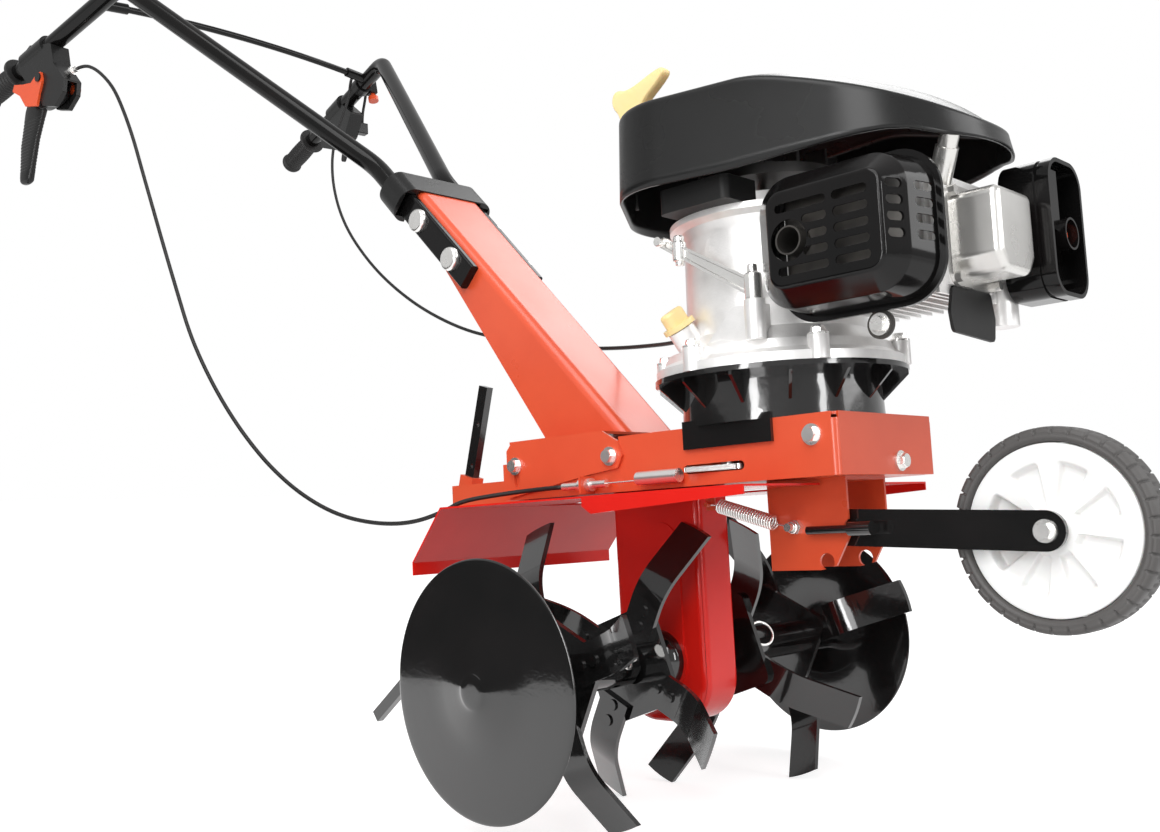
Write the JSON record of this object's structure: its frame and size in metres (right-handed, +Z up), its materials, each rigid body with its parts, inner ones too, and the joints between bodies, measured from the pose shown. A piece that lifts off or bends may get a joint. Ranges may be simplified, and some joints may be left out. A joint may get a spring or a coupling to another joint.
{
  "type": "garden tiller",
  "caption": "Walk-behind garden tiller with engine, worm-driven tines, plant discs, drag stake, lifting transport wheel and tilting handlebars.",
  "frame": {"origin": "on the ground, below the middle of the machine's bounding box without its free cables", "axes": "+X forward to the transport wheel, +Y to the machine's left, +Z up; it stands nose-up on its tines and drag stake"},
  "size_m": [1.7412, 0.6168, 1.0771],
  "materials": {
    "red_paint": "powder coat",
    "gloss_red": "gloss",
    "gloss_black": "gloss",
    "zinc": "bright",
    "steel": "machined",
    "cast_alloy": "as cast",
    "pressed_cover": "satin",
    "black_plastic": "satin",
    "white_plastic": "gloss",
    "tyre": "matt",
    "soft_black": "matt",
    "red_plastic": "gloss",
    "yellow_plastic": "gloss"
  },
  "bodies": {
    "frame": {"main_frame": "red_paint", "tail_beam": "red_paint", "fender": "gloss_red", "wheel_bracket": "red_paint", "bracket_spring": "zinc", "gear_case": "gloss_red", "axle_seals": "black_plastic", "axle_bearings": "steel", "engine_adapter": "black_plastic", "engine_sump": "cast_alloy", "crankcase": "cast_alloy", "cylinder_head": "cast_alloy", "valve_cover": "pressed_cover", "muffler": "steel", "muffler_guard": "gloss_black", "recoil_cover": "black_plastic", "fuel_tank": "black_plastic", "carburettor": "cast_alloy", "air_filter": "black_plastic", "head_shield": "gloss_black", "spark_plug": "pressed_cover", "frame_hardware": "zinc", "engine_bolts": "zinc", "clutch_cable": "soft_black", "throttle_cable": "soft_black", "drive_belt": "soft_black"},
    "column": {"column": "red_paint", "column_cap": "black_plastic", "handlebar_right": "gloss_black", "handlebar_left": "gloss_black", "grips": "soft_black", "cross_brace": "gloss_black", "handle_bolts": "zinc", "clutch_bracket": "black_plastic", "throttle_housing": "black_plastic", "stop_switch": "black_plastic"},
    "clutch_lever": {"clutch_lever": "black_plastic"},
    "clutch_latch": {"clutch_latch": "red_plastic"},
    "clutch_button": {"clutch_button": "red_plastic"},
    "throttle_lever": {"throttle_lever": "black_plastic"},
    "stop_knob": {"stop_knob": "red_plastic"},
    "rotor": {"tine_shaft": "steel", "tine_set_inner_right": "gloss_black", "tine_set_inner_left": "gloss_black", "tine_set_outer_right": "gloss_black", "tine_set_outer_left": "gloss_black", "plant_discs": "gloss_black", "hitch_pins": "zinc"},
    "input_shaft": {"input_shaft": "steel"},
    "crankshaft": {"crankshaft": "steel"},
    "idler_arm": {"idler_arm": "zinc"},
    "wheel_arm": {"wheel_arm": "red_paint", "wheel_axle": "zinc"},
    "wheel": {"wheel_rim": "white_plastic", "tyre": "tyre"},
    "drag_stake": {"drag_stake": "gloss_black"},
    "starter_handle": {"starter_handle": "yellow_plastic"},
    "oil_cap": {"oil_cap": "yellow_plastic"},
    "primer_bulb": {"primer_bulb": "red_plastic"},
    "governor_lever": {"governor_lever": "zinc"}
  },
  "joints": [
    {"name": "column_tilt", "type": "hinge", "parent": "frame", "child": "column", "pos_m": [0.34596, 0, 0.36736], "axis": [0, 1, 0], "range_deg": [-2, 8], "deforming": ["clutch_cable", "throttle_cable"]},
    {"name": "clutch_squeeze", "type": "hinge", "parent": "column", "child": "clutch_lever", "pos_m": [-0.64803, -0.25967, 0.9329], "axis": [0.1362, -0.9906, 0.0095], "range_deg": [-32, 0], "stiffness_Nm_per_rad": 1.2, "springref_deg": 8.59},
    {"name": "clutch_latch_tip", "type": "hinge", "parent": "column", "child": "clutch_latch", "pos_m": [-0.67977, -0.26377, 0.96075], "axis": [0.1362, -0.9906, 0.0095], "range_deg": [-10, 10]},
    {"name": "clutch_button_press", "type": "slide", "parent": "column", "child": "clutch_button", "axis": [0.1362, -0.9906, 0.0095], "range_m": [0, 0.003], "stiffness_N_per_m": 600},
    {"name": "throttle_swing", "type": "hinge", "parent": "column", "child": "throttle_lever", "pos_m": [-0.6528, 0.25994, 0.97266], "axis": [-0.1362, -0.9906, -0.0095], "range_deg": [-25, 25]},
    {"name": "stop_push", "type": "slide", "parent": "column", "child": "stop_knob", "axis": [-0.2705, 0.0279, 0.9623], "range_m": [-0.003, 0.003]},
    {"name": "rotor_spin", "type": "hinge", "parent": "frame", "child": "rotor", "pos_m": [0.3612, 0, 0.14939], "axis": [0, 1, 0], "continuous": true},
    {"name": "input_spin", "type": "hinge", "parent": "frame", "child": "input_shaft", "pos_m": [0.3193, 0, 0.14646], "axis": [-0.0698, 0, 0.9976], "continuous": true},
    {"name": "crank_spin", "type": "hinge", "parent": "frame", "child": "crankshaft", "pos_m": [0.50303, 0, 0.37183], "axis": [-0.0698, 0, 0.9976], "continuous": true},
    {"name": "idler_swing", "type": "hinge", "parent": "frame", "child": "idler_arm", "pos_m": [0.48008, -0.064, 0.37022], "axis": [-0.0698, 0, 0.9976], "range_deg": [-9, 0]},
    {"name": "wheel_arm_swing", "type": "hinge", "parent": "frame", "child": "wheel_arm", "pos_m": [0.54132, 0, 0.29732], "axis": [0, 1, 0], "range_deg": [0, 36]},
    {"name": "wheel_spin", "type": "hinge", "parent": "wheel_arm", "child": "wheel", "pos_m": [0.78164, 0, 0.30109], "axis": [0, 1, 0], "continuous": true},
    {"name": "stake_slide", "type": "slide", "parent": "frame", "child": "drag_stake", "axis": [-0.225, 0, -0.9744], "range_m": [-0.05, 0.05]},
    {"name": "starter_pull", "type": "slide", "parent": "frame", "child": "starter_handle", "axis": [-0.0698, 0, 0.9976], "range_m": [0, 0.055]},
    {"name": "oil_cap_turn", "type": "hinge", "parent": "frame", "child": "oil_cap", "pos_m": [0.44543, -0.096, 0.49311], "axis": [-0.2991, -0.4722, 0.8292], "range_deg": [0, 120]},
    {"name": "primer_press", "type": "slide", "parent": "frame", "child": "primer_bulb", "axis": [-0.9976, 0, -0.0698], "range_m": [0, 0.0035], "stiffness_N_per_m": 1500},
    {"name": "governor_swing", "type": "hinge", "parent": "frame", "child": "governor_lever", "pos_m": [0.53875, -0.104, 0.53472], "axis": [-0.0698, 0, 0.9976], "range_deg": [-6, 8]}
  ],
  "couplings": [
    {"joint": "input_spin", "follows": "rotor_spin", "ratio": -24},
    {"joint": "idler_swing", "follows": "clutch_squeeze", "ratio": 0.25}
  ]
}
